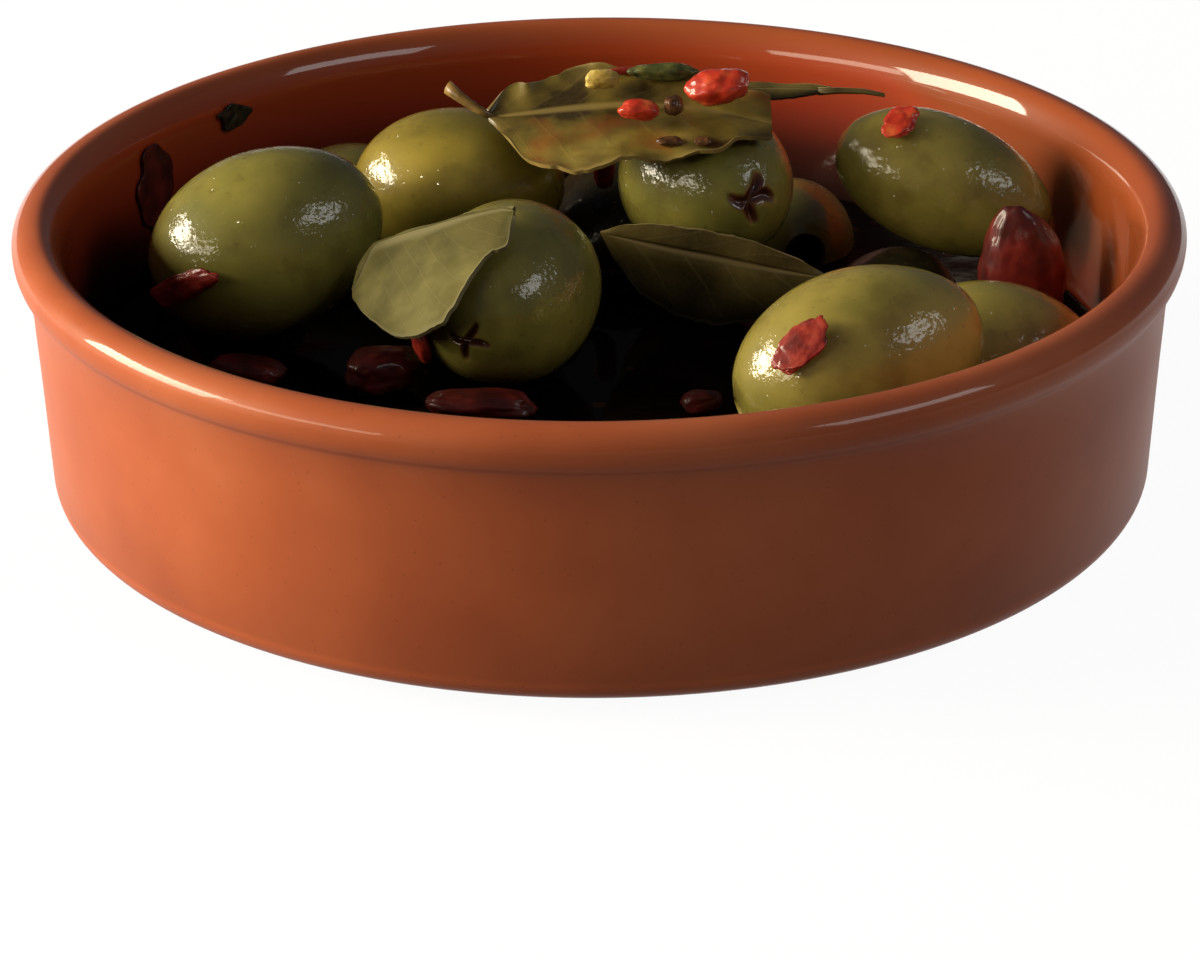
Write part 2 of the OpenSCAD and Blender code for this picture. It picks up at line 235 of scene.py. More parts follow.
# %% Terracotta: clay and coat together
ripple = put(tree, "ShaderNodeTexNoise", {"Vector": where, "Scale": per_mm(9), "Detail": 2})
bump = put(tree, "ShaderNodeBump", {"Height": ripple.outputs["Fac"], "Strength": 0.05,
           "Distance": 0.5 * MM})
feed(tree, shader, {
    "Base Color": stained.outputs["Result"], "Roughness": 0.5, "Specular IOR Level": 0.17,
    "Coat Weight": glaze.outputs[0], "Coat Roughness": 0.06, "Coat IOR": 1.4,
    "Coat Normal": bump.outputs["Normal"]})
print("nodes in the terracotta:", len(tree.nodes))

# %% [markdown]
# ### Drops of oil
#
# Oil breaks into round drops on wet skin and into round beads on a pool. A Voronoi texture
# parts space into cells: the middle of a cell is a drop, and the colour of a cell is a random
# number that decides whether it has one.

# %% Drops of oil
def oil_drops(tree, where, spacing, edge, chance, most=1.0):
    cells = put(tree, "ShaderNodeTexVoronoi", {"Vector": where, "Scale": per_mm(spacing)})
    drop = put(tree, "ShaderNodeMapRange", {"Value": cells.outputs["Distance"],
               "From Min": edge[0], "From Max": edge[1]})
    lot = put(tree, "ShaderNodeSeparateColor", {"Color": cells.outputs["Color"]})
    some = put(tree, "ShaderNodeMapRange", {"Value": lot.outputs["Red"], "From Min": chance[0],
               "From Max": chance[1], "To Max": most})
    both = put(tree, "ShaderNodeMath", {0: drop.outputs[0], 1: some.outputs[0]}, operation="MULTIPLY")
    return both.outputs[0]


# %% [markdown]
# ### Brined olive skin
#
# A thin waxy skin wet with oil. Each olive is mottled from green to straw, dotted with pale
# pores, freckled and worn with brown. The crossed cut and the hole where the stone came out
# are brown inside: the mesh carries that as an attribute, `cut`. Pores and drops of oil are in
# the coat's bump, so they break up the highlights and leave the soft shading alone.

# %% Olive skins
PORE, FRECKLE, WORN, BRUISE, FLESH = "#a08f4a", "#4a3418", "#59481d", "#54301a", "#38150b"


def olive_tone(tree, where, dark, main, light):
    blush = put(tree, "ShaderNodeTexNoise", {"Vector": where, "Scale": per_mm(11), "Detail": 3})
    tone = put(tree, "ShaderNodeValToRGB", {"Fac": blush.outputs["Fac"]},
               [(0.33, chip(dark)), (0.5, chip(main)), (0.68, chip(light))])
    dots = put(tree, "ShaderNodeTexVoronoi", {"Vector": where, "Scale": per_mm(0.9)})
    freckles = put(tree, "ShaderNodeTexNoise", {"Vector": where, "Scale": per_mm(1.1), "Detail": 3})
    patches = put(tree, "ShaderNodeTexNoise", {"Vector": where, "Scale": per_mm(5), "Detail": 4})
    cut = put(tree, "ShaderNodeAttribute", attribute_name="cut").outputs["Fac"]
    colour = tone.outputs["Color"]
    for pattern, start, end, most, code in (
            (dots.outputs["Distance"], 0.22, 0.1, 0.2, PORE),
            (freckles.outputs["Fac"], 0.62, 0.78, 0.4, FRECKLE),
            (patches.outputs["Fac"], 0.5, 0.72, 0.5, WORN),
            (cut, 0.08, 0.4, 1.0, BRUISE),
            (cut, 0.35, 0.8, 1.0, FLESH)):
        share = put(tree, "ShaderNodeMapRange", {"Value": pattern, "From Min": start, "From Max": end,
                    "To Max": most})
        layer = put(tree, "ShaderNodeMix", {"Factor": share.outputs["Result"], "A": colour,
                    "B": chip(code)}, data_type="RGBA")
        colour = layer.outputs["Result"]
    return colour


def olive_skin(name, dark, main, light, wet):
    finish, tree, shader = new_finish(name)
    where = put(tree, "ShaderNodeTexCoord").outputs["Object"]
    pores = put(tree, "ShaderNodeTexNoise", {"Vector": where, "Scale": per_mm(0.8), "Detail": 3})
    oil = put(tree, "ShaderNodeTexNoise", {"Vector": where, "Scale": per_mm(2.6), "Detail": 2})
    rough = put(tree, "ShaderNodeMath", {0: oil.outputs["Fac"], 1: 1.6, 2: pores.outputs["Fac"]},
                operation="MULTIPLY_ADD")
    drops = oil_drops(tree, where, 1.7, (0.2, 0.06), (0.6, 0.64))
    film = put(tree, "ShaderNodeMath", {0: drops, 1: 1.1, 2: rough.outputs[0]}, operation="MULTIPLY_ADD")
    bump = put(tree, "ShaderNodeBump", {"Height": film.outputs[0], "Strength": 0.9,
               "Distance": 0.13 * MM})
    feed(tree, shader, {
        "Base Color": olive_tone(tree, where, dark, main, light), "Roughness": 0.5,
        "Specular IOR Level": 0.15, "Coat Weight": wet, "Coat Roughness": 0.05, "Coat IOR": 1.47,
        "Coat Normal": bump.outputs["Normal"]})
    return finish


green_skin = olive_skin("brined_olive_green", "#626028", "#787130", "#8a8038", 1.0)
# partly painted light: a paler copy of the skin for the olives at the right, which get less lamp light;
# partly their own paler, browner tone
pale_skin = olive_skin("brined_olive_pale", "#736b2c", "#897c37", "#9a8b41", 1.0)
straw_skin = olive_skin("brined_olive_straw", "#6b6023", "#867529", "#9a8630", 1.0)
# painted shade: a nearly black copy of the skin for the olives low in the pile, which lie in shade
soaked_skin = olive_skin("brined_olive_soaked", "#1a160c", "#262011", "#312916", 0.3)

# %% [markdown]
# ### Bay leaf
#
# A bay leaf is leathery, with a pale midrib, a pale margin that is partly painted highlight along the
# edge, side veins that leave the midrib at a slant, and a fine net between them. The veins have to
# follow the blade, so they read the leaf's own UV map: across the map, the midrib is at one half. The
# net is drawn from millimetres, a little coarser than the real one so that it shows.

# %% Veins of a leaf
def leaf_veins(tree, where, flat, out, wander, ribs):
    along = put(tree, "ShaderNodeMath", {0: flat.outputs["X"], 1: ribs}, operation="MULTIPLY")
    slant = put(tree, "ShaderNodeMath", {0: out, 1: -ribs * 0.55, 2: along.outputs[0]},
                operation="MULTIPLY_ADD")
    bend = put(tree, "ShaderNodeMath", {0: wander, 1: 0.7, 2: slant.outputs[0]},
               operation="MULTIPLY_ADD")
    saw = put(tree, "ShaderNodeMath", {0: bend.outputs[0], 1: 0.5}, operation="PINGPONG")
    side = put(tree, "ShaderNodeMapRange", {"Value": saw.outputs[0], "From Min": 0.06, "From Max": 0.0})
    net = put(tree, "ShaderNodeTexVoronoi", {"Vector": where, "Scale": per_mm(0.9)},
              feature="DISTANCE_TO_EDGE")
    mesh_line = put(tree, "ShaderNodeMapRange", {"Value": net.outputs["Distance"], "From Min": 0.1,
                    "From Max": 0.02, "To Max": 0.07})
    fine = put(tree, "ShaderNodeMath", {0: side.outputs[0], 1: 0.2, 2: mesh_line.outputs[0]},
               operation="MULTIPLY_ADD")
    midrib = put(tree, "ShaderNodeMapRange", {"Value": out, "From Min": 0.045, "From Max": 0.015})
    # the pale margin: partly the leaf's own paler edge, partly a painted highlight along the edge
    margin = put(tree, "ShaderNodeMapRange", {"Value": out, "From Min": 0.47, "From Max": 0.495})
    lines = put(tree, "ShaderNodeMath", {0: fine.outputs[0], 1: midrib.outputs[0]}, operation="MAXIMUM")
    veins = put(tree, "ShaderNodeMath", {0: lines.outputs[0], 1: margin.outputs[0]}, operation="MAXIMUM")
    return veins.outputs[0]


# %% [markdown]
# The blade under the veins is mottled and rusty where the marinade got into it. On one leaf the lower
# half is darkened nearly to black as painted shade; the last argument says how much. A wet leaf shines, and
# the pale underside of the torn leaf is dull, so each leaf has its own roughness and shine.

# %% Bay leaf finishes
# painted shade: the colour that darkens the lower half of a leaf
SOAKED_LEAF = "#0d0b06"


def bay_leaf(name, dark, main, light, rust, rib, ribs, rough, shine, dip=0):
    finish, tree, shader = new_finish(name)
    coords = put(tree, "ShaderNodeTexCoord")
    where = coords.outputs["Object"]
    flat = put(tree, "ShaderNodeSeparateXYZ", {"Vector": coords.outputs["UV"]})
    off = put(tree, "ShaderNodeMath", {0: flat.outputs["Y"], 1: 0.5}, operation="SUBTRACT")
    out = put(tree, "ShaderNodeMath", {0: off.outputs[0]}, operation="ABSOLUTE")
    mottle = put(tree, "ShaderNodeTexNoise", {"Vector": where, "Scale": per_mm(8), "Detail": 3})
    tone = put(tree, "ShaderNodeValToRGB", {"Fac": mottle.outputs["Fac"]},
               [(0.33, chip(dark)), (0.5, chip(main)), (0.67, chip(light))])
    blotch = put(tree, "ShaderNodeTexNoise", {"Vector": where, "Scale": per_mm(9), "Detail": 3})
    spot = put(tree, "ShaderNodeMapRange", {"Value": blotch.outputs["Fac"], "From Min": 0.53,
               "From Max": 0.64, "To Max": 0.7})
    rusty = put(tree, "ShaderNodeMix", {"Factor": spot.outputs["Result"], "A": tone.outputs["Color"],
                "B": chip(rust)}, data_type="RGBA")
    veins = leaf_veins(tree, where, flat, out.outputs[0], mottle.outputs["Fac"], ribs)
    drawn = put(tree, "ShaderNodeMath", {0: veins, 1: 0.75}, operation="MULTIPLY")
    leaf = put(tree, "ShaderNodeMix", {"Factor": drawn.outputs[0], "A": rusty.outputs["Result"],
               "B": chip(rib)}, data_type="RGBA", clamp_factor=True)
    # painted shade: the lower half of the blade is darkened towards black, as much as the last argument
    # says
    sunk = put(tree, "ShaderNodeMapRange", {"Value": off.outputs[0], "From Min": -0.1,
               "From Max": -0.5, "To Max": dip})
    soaked = put(tree, "ShaderNodeMix", {"Factor": sunk.outputs["Result"], "A": leaf.outputs["Result"],
                 "B": chip(SOAKED_LEAF)}, data_type="RGBA")
    bump = put(tree, "ShaderNodeBump", {"Height": veins, "Strength": 0.35, "Distance": 0.2 * MM})
    feed(tree, shader, {
        "Base Color": soaked.outputs["Result"], "Roughness": rough, "Specular IOR Level": shine,
        "Normal": bump.outputs["Normal"]})
    return finish


brown_leaf = bay_leaf("soaked_bay_leaf_olive", "#332810", "#665623", "#8a7834", "#774319", "#877340",
                      ribs=6, rough=0.32, shine=0.4)
grey_leaf = bay_leaf("bay_leaf_underside", "#47421e", "#605a2f", "#7a7342", "#5b5228", "#7a7350",
                     ribs=8, rough=0.7, shine=0.15)
# this leaf gets painted shade on its lower half
dark_leaf = bay_leaf("soaked_bay_leaf_dark", "#4c4121", "#6a5b2e", "#7d6d38", "#52431f", "#b09b69",
                     ribs=5, rough=0.45, shine=0.2, dip=0.93)

# %% [markdown]
# ### Pickled pepper, garlic, spice and herb
#
# Wet flesh, all of one kind: a mottled colour under a glossy coat, with a soft dented bump.
# `grain` is the size of the mottling in millimetres, and `wet` is how much of the coat there is.

# %% Soft wet flesh
def wet_flesh(name, dark, main, light, grain, wet):
    finish, tree, shader = new_finish(name)
    where = put(tree, "ShaderNodeTexCoord").outputs["Object"]
    mottle = put(tree, "ShaderNodeTexNoise", {"Vector": where, "Scale": per_mm(grain), "Detail": 4})
    tone = put(tree, "ShaderNodeValToRGB", {"Fac": mottle.outputs["Fac"]},
               [(0.35, chip(dark)), (0.52, chip(main)), (0.7, chip(light))])
    dents = put(tree, "ShaderNodeTexNoise", {"Vector": where, "Scale": per_mm(grain / 2), "Detail": 2})
    bump = put(tree, "ShaderNodeBump", {"Height": dents.outputs["Fac"], "Strength": 0.3,
               "Distance": 0.25 * MM})
    feed(tree, shader, {
        "Base Color": tone.outputs["Color"], "Roughness": 0.5, "Specular IOR Level": 0.2,
        "Normal": bump.outputs["Normal"], "Coat Weight": wet, "Coat Roughness": 0.1,
        "Coat IOR": 1.38, "Coat Normal": bump.outputs["Normal"]})
    return finish


red_flesh = wet_flesh("pickled_pepper_red", "#a52614", "#c63a21", "#da6432", 2.4, 0.8)
skin_flesh = wet_flesh("pickled_pepper_skin", "#651610", "#862217", "#a23a27", 1.6, 0.7)
dark_flesh = wet_flesh("pickled_pepper_dark", "#43100d", "#641913", "#86291f", 4, 0.5)
sunk_flesh = wet_flesh("pickled_pepper_sunk", "#330d0b", "#4b1410", "#641c15", 3, 0.3)
garlic_flesh = wet_flesh("oiled_garlic", "#a5883c", "#c3a552", "#d9c070", 2, 0.6)
spice_flesh = wet_flesh("oiled_spice_seed", "#3e2412", "#5d3a1e", "#7a5029", 1.2, 0.6)
herb_flesh = wet_flesh("oiled_herb", "#34371a", "#4f5327", "#6c6a35", 1.5, 0.6)
stalk_wood = wet_flesh("bay_stalk", "#5d4620", "#7b5f2e", "#94773f", 2, 0.4)
wilted_flesh = wet_flesh("wilted_herb", "#12120a", "#1d1c0f", "#302c18", 1.2, 0.6)

# %% [markdown]
# ### Marinade
#
# Vinegar, oil and juice so dark that it shows almost no colour, only what it mirrors. Brown
# beads of oil float on it and lift its skin a little.

# %% Marinade
pool_finish, tree, shader = new_finish("dark_marinade")
where = put(tree, "ShaderNodeTexCoord").outputs["Object"]
swirl = put(tree, "ShaderNodeTexNoise", {"Vector": where, "Scale": per_mm(14), "Detail": 3})
tone = put(tree, "ShaderNodeValToRGB", {"Fac": swirl.outputs["Fac"]},
           [(0.4, chip("#070403")), (0.7, chip("#120806"))])
beads = oil_drops(tree, where, 4, (0.24, 0.2), (0.68, 0.7), 0.5)
oily = put(tree, "ShaderNodeMix", {"Factor": beads, "A": tone.outputs["Color"], "B": chip("#3d200c")},
           data_type="RGBA")
skim = put(tree, "ShaderNodeTexNoise", {"Vector": where, "Scale": per_mm(5), "Detail": 2})
film = put(tree, "ShaderNodeMath", {0: beads, 1: 0.5, 2: skim.outputs["Fac"]}, operation="MULTIPLY_ADD")
bump = put(tree, "ShaderNodeBump", {"Height": film.outputs[0], "Strength": 0.08, "Distance": 0.5 * MM})
feed(tree, shader, {
    "Base Color": oily.outputs["Result"], "Roughness": 0.06, "IOR": 1.33, "Specular IOR Level": 0.035,
    "Normal": bump.outputs["Normal"]})
print("nodes in the marinade:", len(tree.nodes))

# %% [markdown]
# ## The dish
#
# A thrown dish is a turned shape, so it is drawn as a section and spun, as on a wheel. The
# section runs from the middle of the foot out, up the wall, over the rolled rim and down to the
# floor. The same radii as in the frame are used, only with more points, so that the highlights
# run smoothly round the rim.

# %% Section of the dish
def arc(centre, rx, ry, start, end, steps):
    turns = np.radians(np.linspace(start, end, steps + 1))
    return [(centre[0] + rx * math.cos(t), centre[1] + ry * math.sin(t)) for t in turns]


RECESS_Z, RECESS_R, FOOT_R = 1.2, 49.3, (50.5, 57.5)
HEEL_C, HEEL_ROUND = (61.7, 4.2), 2.4
BOWL_R, FLOOR, BOWL_ROUND = 60.2, 5.0, 8
RIM_C, RIM_HALF = (64.3, 31.85), (2.9, 2.45)
RIM_TOP, INNER_ROLL = 34.3, 5.0
foot = [(0, RECESS_Z), (25, RECESS_Z), (RECESS_R, RECESS_Z), (FOOT_R[0], 0), (FOOT_R[1], 0), (58.1, 0.3)]
outer_wall = [(64.35, 9), (64.6, 14), (64.85, 18.5)]
lip = [(65.1, 22.5), (65.18, 24.2), (65.36, 25.8), (65.6, 27.2), (65.84, 28.3), (66, 28.9),
       (66.2, 29.3), (66.55, 29.6), (66.88, 30.1), (67.1, 30.8), (67.18, 31.4)]
inner_wall = [(61.05, 26), (60.75, 21), (60.45, 17)]
section = (foot + arc(HEEL_C, HEEL_ROUND, HEEL_ROUND, -58, 0, 8) + outer_wall + lip
           + arc(RIM_C, *RIM_HALF, 0, 90, 14)
           + arc((RIM_C[0], RIM_TOP - INNER_ROLL), RIM_HALF[0], INNER_ROLL, 90, 180, 18)[1:]
           + inner_wall
           + arc((BOWL_R - BOWL_ROUND, FLOOR + BOWL_ROUND), BOWL_ROUND, BOWL_ROUND, 0, -90, 14)
           + [(40, FLOOR), (20, FLOOR), (0, FLOOR)])
print("points in the section:", len(section))

# %% [markdown]
# A plane merged to its middle leaves one point. That point is extruded along the section, and
# the line is spun round the axis. Spin leaves a seam and may turn the faces in, so the doubles
# are merged and the normals recalculated.

# %% Extrude the section and spin it
SPIN_STEPS, WELD = 192, 0.01 * MM
bpy.ops.mesh.primitive_plane_add(size=1)
dish = bpy.context.object
bpy.ops.object.mode_set(mode="EDIT")
bpy.ops.mesh.merge(type="CENTER")
at = Vector((0, 0, 0))
for radius, z in section:
    to = Vector((radius, 0, z)) * MM
    if at.length == 0:
        bpy.ops.transform.translate(value=to)
    else:
        bpy.ops.mesh.extrude_region_move(TRANSFORM_OT_translate={"value": to - at})
    at = to
bpy.ops.mesh.select_all(action="SELECT")
bpy.ops.mesh.spin(steps=SPIN_STEPS, angle=2 * math.pi, center=(0, 0, 0), axis=(0, 0, 1))
bpy.ops.mesh.select_all(action="SELECT")
bpy.ops.mesh.remove_doubles(threshold=WELD)
bpy.ops.mesh.normals_make_consistent(inside=False)
bpy.ops.object.mode_set(mode="OBJECT")
hand_over(dish, "dish_glazed", "dish", "glazed_terracotta", terracotta, "dish", creased=True)

# %% [markdown]
# ## The olives
#
# All the olives are one model. A sphere is drawn out to an egg, and the blunt end gets the hole
# of the stone by extruding its cap inwards. The other end, where the crossed cuts go, is
# subdivided so that it has points enough for them.

# %% Model olive
HALF_L, HALF_D, EGG = 13.0, 10.0, 0.04
PIT_R, PIT_STEP, PIT_STEPS = 2.8, 3.4, 3
FINE_TIP = 0.72
bpy.ops.mesh.primitive_uv_sphere_add(segments=80, ring_count=56, radius=1)
model_olive = bpy.context.object


def draw_out(p):
    wide = HALF_D * (1 - EGG * p[:, 2])
    return np.c_[p[:, 0] * wide, p[:, 1] * wide, p[:, 2] * HALF_L] * MM


def select_faces(piece, wanted):
    bpy.ops.object.mode_set(mode="OBJECT")
    for face in piece.data.polygons:
        face.select = bool(wanted(face.center / MM))
    for part in (*piece.data.edges, *piece.data.vertices):
        part.select = False
    bpy.ops.object.mode_set(mode="EDIT")
    bpy.ops.mesh.select_mode(type="FACE")


reshape(model_olive, draw_out)
select_faces(model_olive, lambda c: c.z < 0 and math.hypot(c.x, c.y) < PIT_R)
for step in range(PIT_STEPS):
    bpy.ops.mesh.extrude_region_move(TRANSFORM_OT_translate={"value": (0, 0, PIT_STEP * MM)})
select_faces(model_olive, lambda c: c.z > FINE_TIP * HALF_L)
bpy.ops.mesh.subdivide(number_cuts=2)
bpy.ops.object.mode_set(mode="OBJECT")
print("model olive points:", len(model_olive.data.vertices))

# %% [markdown]
# The pitter leaves two crossed cuts in the skin. Each is a narrow groove that wanders a little
# and fades out at its ends. The same sum, a bit wider, stains the skin: its strength goes into
# the attribute `cut` that the olive's finish reads. The hole is drawn in where it has closed up.

# %% Crossed cut and its brown stain
PIT_LIP, SKIN_END, PIT_FLOOR, TIP = 0.4, 0.93, 0.965, 0.7
STAIN_SPREAD, FULL_STAIN = 1.3, 0.5


def cut_strength(p, half, width):
    strength = np.zeros(len(p))
    slope, rise = (p[:, 0] - p[:, 1]) / math.sqrt(2), (p[:, 0] + p[:, 1]) / math.sqrt(2)
    for number, (across, along) in enumerate(((slope, rise), (rise, slope))):
        wander = 0.3 * np.sin(along / 0.9 + number) * width / 0.4
        fade = np.clip(1.3 - 1.3 * (along / half) ** 2, 0, 1)
        strength = np.maximum(strength, np.exp(-((across + wander) / width) ** 2) * fade)
    return np.where(p[:, 2] > 0, strength, 0)


def round_hole(p):
    return (np.hypot(p[:, 0], p[:, 1]) < PIT_R + PIT_LIP) & (p[:, 2] < 0)


def cut_open(olive, half, width, depth, hole):
    p = points_of(olive) / MM
    drawn_in = round_hole(p)
    p[drawn_in, :2] *= hole
    on_skin = drawn_in & (p[:, 2] < -SKIN_END * HALF_L)
    shut = np.hypot(p[on_skin, 0], p[on_skin, 1]) / HALF_D
    p[on_skin, 2] = -HALF_L * np.sqrt(1 - shut ** 2)
    egg = HALF_D * (1 - EGG * p[:, 2] / HALF_L)
    out = np.sqrt((p[:, 0] / egg) ** 2 + (p[:, 1] / egg) ** 2 + (p[:, 2] / HALF_L) ** 2)
    tip = p[:, 2] > TIP * HALF_L
    p[tip] /= out[tip, None]
    in_pit = round_hole(p) & (p[:, 2] > -PIT_FLOOR * HALF_L)
    stain = cut_strength(p, half, STAIN_SPREAD * width) * min(1, depth / FULL_STAIN)
    stain = np.maximum(stain, np.where(in_pit, 1.0, 0.0))
    p[:, 2] -= depth * cut_strength(p, half, width)
    olive.data.attributes.new("cut", "FLOAT", "POINT").data.foreach_set("value", stain)
    reshape(olive, lambda flat: p * MM)


# %% [markdown]
# Every olive: its node, its body, its middle in millimetres, the heading and rise of its cut
# end, its length and thickness, a roll about its own length, its skin, and how long, wide and
# deep its crossed cut gapes and how open its stone hole is. Most cuts and holes have closed up;
# two cuts and one hole face the viewer and stand open.

# %% Where the olives lie
SHUT = (3, 0.35, 0.12, 0.4)
HOLE_OPEN = (3, 0.35, 0.12, 1)
SMALL_CUT, LARGE_CUT = (2.6, 0.34, 0.62, 0.4), (3.3, 0.6, 0.7, 0.4)
OLIVES = [
    ("olive_left", "olive_left", (-39, 6.5, 26.55), 15, 20, 28.5, 21.5, 0, green_skin, SHUT),
    ("olive_back_left", "dish", (-17, 26.5, 25.8), -8, 4, 26, 19, 0, straw_skin, SHUT),
    ("olive_far_left", "dish", (-31.5, 39, 18.3), 60, 0, 21, 16, 0, green_skin, SHUT),
    ("olive_front", "olive_front", (-10.5, -4, 24.05), -110, -5, 25.5, 20.5, 30, green_skin, SMALL_CUT),
    ("olive_back", "olive_back", (13, 22, 27.8), -65, 9, 25, 20, 35, green_skin, LARGE_CUT),
    ("olive_right_back", "olive_right_back", (41.5, 21.5, 27.5), -12, -20, 27.5, 16, 0, pale_skin, SHUT),
    ("olive_right_front", "olive_right_front", (28.5, -26, 24.55), 15, 16, 29, 20.5, 0, pale_skin, SHUT),
    ("olive_right_low", "dish", (45, -11.5, 18.05), -10, -4, 25, 18.5, 0, pale_skin, SHUT),
    ("olive_middle_low", "dish", (24, 39, 13.55), 98, -11, 21, 15.5, 0, green_skin, HOLE_OPEN),
    ("olive_under_left", "dish", (-43.5, 23.5, 15.8), 105, 0, 20, 16, 0, soaked_skin, SHUT),
    ("olive_under_back", "dish", (3, 38.5, 15.05), 80, 0, 23, 19.5, 0, soaked_skin, SHUT),
    ("olive_under_right", "dish", (35, 14, 13.75), 60, 0, 21.5, 15.5, 0, soaked_skin, SHUT),
    ("olive_under_front", "dish", (-10.5, 13.5, 13.05), 150, 0, 20, 15.5, 0, soaked_skin, SHUT),
    ("olive_under_middle", "dish", (25, -4, 13.05), 10, 0, 20, 15.5, 0, soaked_skin, SHUT),
]
print("olives:", len(OLIVES))

# %% [markdown]
# Each olive is a copy of the model with its own mesh: cut, dented by a slow noise so that no two
# are alike, stretched to its size and turned to its place. Then the model itself is removed.

# %% Place the olives
DENT, DENT_SIZE = 0.018, 9


def turned(azimuth, pitch, roll):
    heading = Matrix.Rotation(math.radians(azimuth), 3, "Z")
    lying = Matrix.Rotation(math.radians(90 - pitch), 3, "Y")
    return np.array(heading @ lying @ Matrix.Rotation(math.radians(roll), 3, "Z"))


def dented(p, share, size, seed):
    start = Vector((seed, 7.3 * seed, 3.1))
    lumps = np.array([noise.noise(Vector(q) / (size * MM) + start) for q in p])
    return p * (1 + share * lumps[:, None])


for number, (node, body, spot, azimuth, pitch, long, thick, roll, finish, cut) in enumerate(OLIVES):
    take(model_olive)
    bpy.ops.object.duplicate()
    olive = bpy.context.object
    cut_open(olive, *cut)
    stretch = np.array([thick / 2 / HALF_D, thick / 2 / HALF_D, long / 2 / HALF_L])
    turn = turned(azimuth, pitch, roll)
    reshape(olive, lambda p: (dented(p, DENT, DENT_SIZE, number + 1) * stretch) @ turn.T
            + np.array(spot) * MM)
    slot = "yellow_olive_skin" if finish is straw_skin else "green_olive_skin"
    hand_over(olive, node + "_skin", body, slot, finish, node)
bpy.data.objects.remove(model_olive)

# %% [markdown]
# ## The marinade
#
# A pool has to climb a little where it wets the olives and the glaze: that thin bright line is
# what makes a liquid look wet. A square grid is pressed into a disc, and each point rises by how
# near it is to a waterline. The pool is closed below by extruding its edge down and filling it.

# %% Pool with its waterlines
LEVEL, POOL_R, POOL_DEPTH = 13.7, 60.1, 3
CLIMB, REACH = 0.3, 0.6
bpy.ops.mesh.primitive_grid_add(x_subdivisions=180, y_subdivisions=180, size=2)
pool = bpy.context.object


def to_disc(p):
    return p[:, 0] * np.sqrt(1 - p[:, 1] ** 2 / 2), p[:, 1] * np.sqrt(1 - p[:, 0] ** 2 / 2)


def waterline(x, y):
    rise = np.exp(-(POOL_R - np.hypot(x, y)) / REACH)
    for node, body, spot, azimuth, pitch, long, thick, *rest in OLIVES:
        local = np.c_[x - spot[0], y - spot[1], np.full(len(x), LEVEL - spot[2])]
        size = np.array([thick / 2, thick / 2, long / 2])
        far = (np.sqrt(((local @ turned(azimuth, pitch, 0) / size) ** 2).sum(1)) - 1) * thick / 2
        rise = np.maximum(rise, np.exp(-np.abs(far) / REACH))
    return rise


def press_pool(p):
    x, y = [side * POOL_R for side in to_disc(p)]
    return np.c_[x, y, LEVEL + CLIMB * waterline(x, y)] * MM


reshape(pool, press_pool)
take(pool)
bpy.ops.object.mode_set(mode="EDIT")
bpy.ops.mesh.select_all(action="SELECT")
bpy.ops.mesh.region_to_loop()
bpy.ops.mesh.extrude_edges_move(TRANSFORM_OT_translate={"value": (0, 0, -POOL_DEPTH * MM)})
bpy.ops.mesh.edge_face_add()
bpy.ops.object.mode_set(mode="OBJECT")
hand_over(pool, "marinade_pool", "dish", "dark_marinade", pool_finish, "marinade")

# %% [markdown]
# ## The leaves
#
# A leaf is a thin blade. A flat grid is pressed between two drawn edges, with its middle row on
# the midrib, bowed along its length, nicked and rippled at its margin, grooved along the midrib
# where there is room, laid in place, and thickened with Solidify. The grid's own UV map then
# runs along and across the blade.

# %% Leaf maker
NICK, NICK_ROOM, NICKS_PER_MM = 0.35, 4, 1.1
WAVE_L, WAVE_W = 5.0, 6.0
GROOVE, GROOVE_W, GROOVE_ROOM = 0.35, 0.1, 3
SOFTEN = (-0.6, -0.3, 0, 0.3, 0.6)


def soft_line(edge, x):
    xs, ys = [q[0] for q in edge], [q[1] for q in edge]
    return sum(np.interp(x + shift, xs, ys) for shift in SOFTEN) / len(SOFTEN)


def apply_modifier(piece, kind, **settings):
    modifier = piece.modifiers.new(kind.title(), kind)
    for key, value in settings.items():
        setattr(modifier, key, value)
    bpy.ops.object.modifier_apply(modifier=modifier.name)


def blade(rib, upper, lower, bow, ripple, curl, thick, place, turn, seed):
    bpy.ops.mesh.primitive_grid_add(x_subdivisions=72, y_subdivisions=40, size=2)
    leaf = bpy.context.object

    def press(p):
        first, last = rib[0][0], rib[-1][0]
        x = first + (last - first) * (p[:, 0] + 1) / 2
        mid, side = soft_line(rib, x), p[:, 1]
        top, bottom = soft_line(upper, x), soft_line(lower, x)
        edge = np.where(side > 0, top, bottom)
        nick = np.array([noise.noise(Vector((NICKS_PER_MM * a, 9 * seed + np.sign(b), seed)))
                         for a, b in zip(x, side)])
        y = mid + (edge - mid) * np.abs(side)
        y = y + NICK * nick * side ** 4 * np.clip(np.abs(edge - mid) / NICK_ROOM, 0, 1)
        wave = np.array([noise.noise(Vector((a / WAVE_L + seed, b / WAVE_W, seed))) for a, b in zip(x, y)])
        room = np.minimum(top - mid, mid - bottom)
        groove = GROOVE * np.exp(-(side / GROOVE_W) ** 2) * np.clip(room / GROOVE_ROOM, 0, 1)
        z = -x * x / 2 / bow + ripple * wave * side ** 2 - groove
        z = z + curl[0] * np.clip(side, 0, 1) ** 2 + curl[1] * np.clip(-side, 0, 1) ** 2
        return (np.c_[x, y, z] @ np.array(turn).T + np.array(place)) * MM

    take(reshape(leaf, press))
    apply_modifier(leaf, "SUBSURF", levels=1, render_levels=1)
    apply_modifier(leaf, "SOLIDIFY", thickness=thick * MM, offset=-1)
    return leaf


